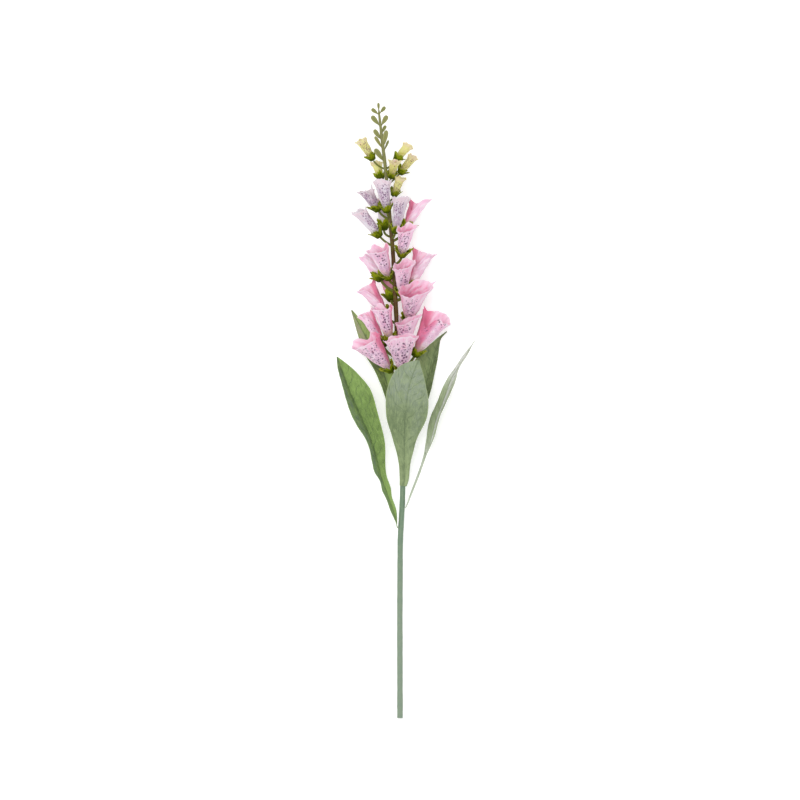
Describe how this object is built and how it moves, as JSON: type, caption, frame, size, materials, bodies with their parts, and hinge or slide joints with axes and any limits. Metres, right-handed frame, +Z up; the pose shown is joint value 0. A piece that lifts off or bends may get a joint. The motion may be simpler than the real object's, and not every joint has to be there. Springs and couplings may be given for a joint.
{
  "type": "foxglove flower stem",
  "caption": "Long cut foxglove stem with spotted bell flowers in pointed green calyxes, small tip buds and broad pointed leaves, lying on its back.",
  "frame": {"origin": "on the surface that the stem lies on, under the middle of its length and width", "axes": "+Y runs along the lying stem from the cut end toward the tip buds, +Z up, +X to the right of a viewer who looks down with the tip pointing away"},
  "size_m": [0.2104, 0.9364, 0.136],
  "materials": {
    "stem": "sage green, brown among the flowers",
    "leaf_green": "matt green cloth with pressed veins",
    "leaf_sage": "matt grey green cloth, a leaf's underside",
    "calyx": "satin yellow green",
    "petal_pink": "thin pink cloth with dark spots",
    "petal_pale": "thin lilac white cloth with dark spots",
    "petal_young": "thin yellow green cloth"
  },
  "bodies": {
    "root": {"stem": "stem", "leaf_left": "leaf_green", "leaf_front": "leaf_sage", "leaf_right": "leaf_sage", "leaf_back_right": "leaf_green", "leaf_back_left": "leaf_green", "bell_01": "petal_pink", "bell_02": "petal_pink", "bell_03": "petal_pink", "bell_04": "petal_pink", "bell_05": "petal_pink", "bell_06": "petal_pink", "bell_07": "petal_pink", "bell_08": "petal_pink", "bell_09": "petal_pink", "bell_10": "petal_pink", "bell_11": "petal_pink", "bell_12": "petal_pink", "bell_13": "petal_pink", "bell_14": "petal_pink", "bell_15": "petal_pink", "bell_16": "petal_pale", "bell_17": "petal_pink", "bell_18": "petal_pale", "bell_19": "petal_pale", "bell_20": "petal_pale", "bell_21": "petal_pale", "bell_22": "petal_young", "bell_23": "petal_young", "bell_24": "petal_young", "bell_25": "petal_young", "bell_26": "petal_young", "bell_27": "petal_young", "calyx_01": "calyx", "calyx_02": "calyx", "calyx_03": "calyx", "calyx_04": "calyx", "calyx_05": "calyx", "calyx_06": "calyx", "calyx_07": "calyx", "calyx_08": "calyx", "calyx_09": "calyx", "calyx_10": "calyx", "calyx_11": "calyx", "calyx_12": "calyx", "calyx_13": "calyx", "calyx_14": "calyx", "calyx_15": "calyx", "calyx_16": "calyx", "calyx_17": "calyx", "calyx_18": "calyx", "calyx_19": "calyx", "calyx_20": "calyx", "calyx_21": "calyx", "calyx_22": "calyx", "calyx_23": "calyx", "calyx_24": "calyx", "calyx_25": "calyx", "calyx_26": "calyx", "calyx_27": "calyx"}
  },
  "joints": []
}
